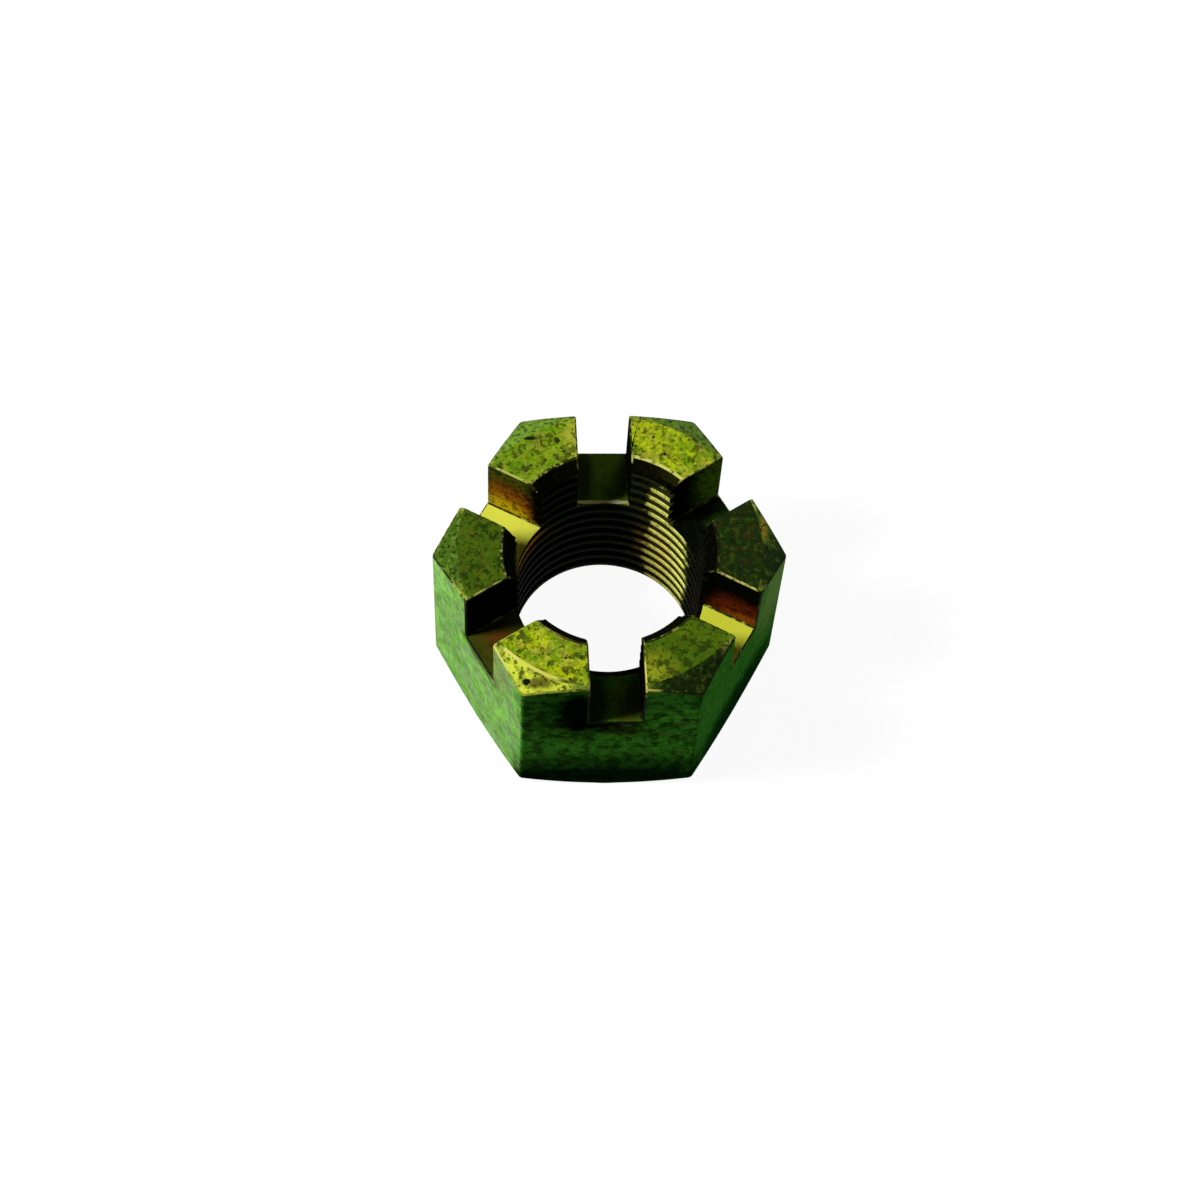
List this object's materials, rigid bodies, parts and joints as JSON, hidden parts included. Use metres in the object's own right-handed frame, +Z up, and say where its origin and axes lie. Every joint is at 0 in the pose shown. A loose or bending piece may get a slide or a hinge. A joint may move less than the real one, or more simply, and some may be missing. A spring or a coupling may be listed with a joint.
{
  "type": "slotted hexagon nut",
  "caption": "Tall hexagon nut with slots milled across its top for a split pin and a fine threaded bore, in worn olive-gold chromate finish.",
  "frame": {"origin": "on the thread's axis at the lower bearing face", "axes": "+Z up the thread's axis to the slotted end, -Y out of one wrench flat, +X out of one corner"},
  "size_m": [0.0414, 0.036, 0.0275],
  "materials": {
    "chromated_steel": "worn olive-gold chromate over pitted steel"
  },
  "bodies": {
    "root": {"castle_nut": "chromated_steel"}
  },
  "joints": []
}
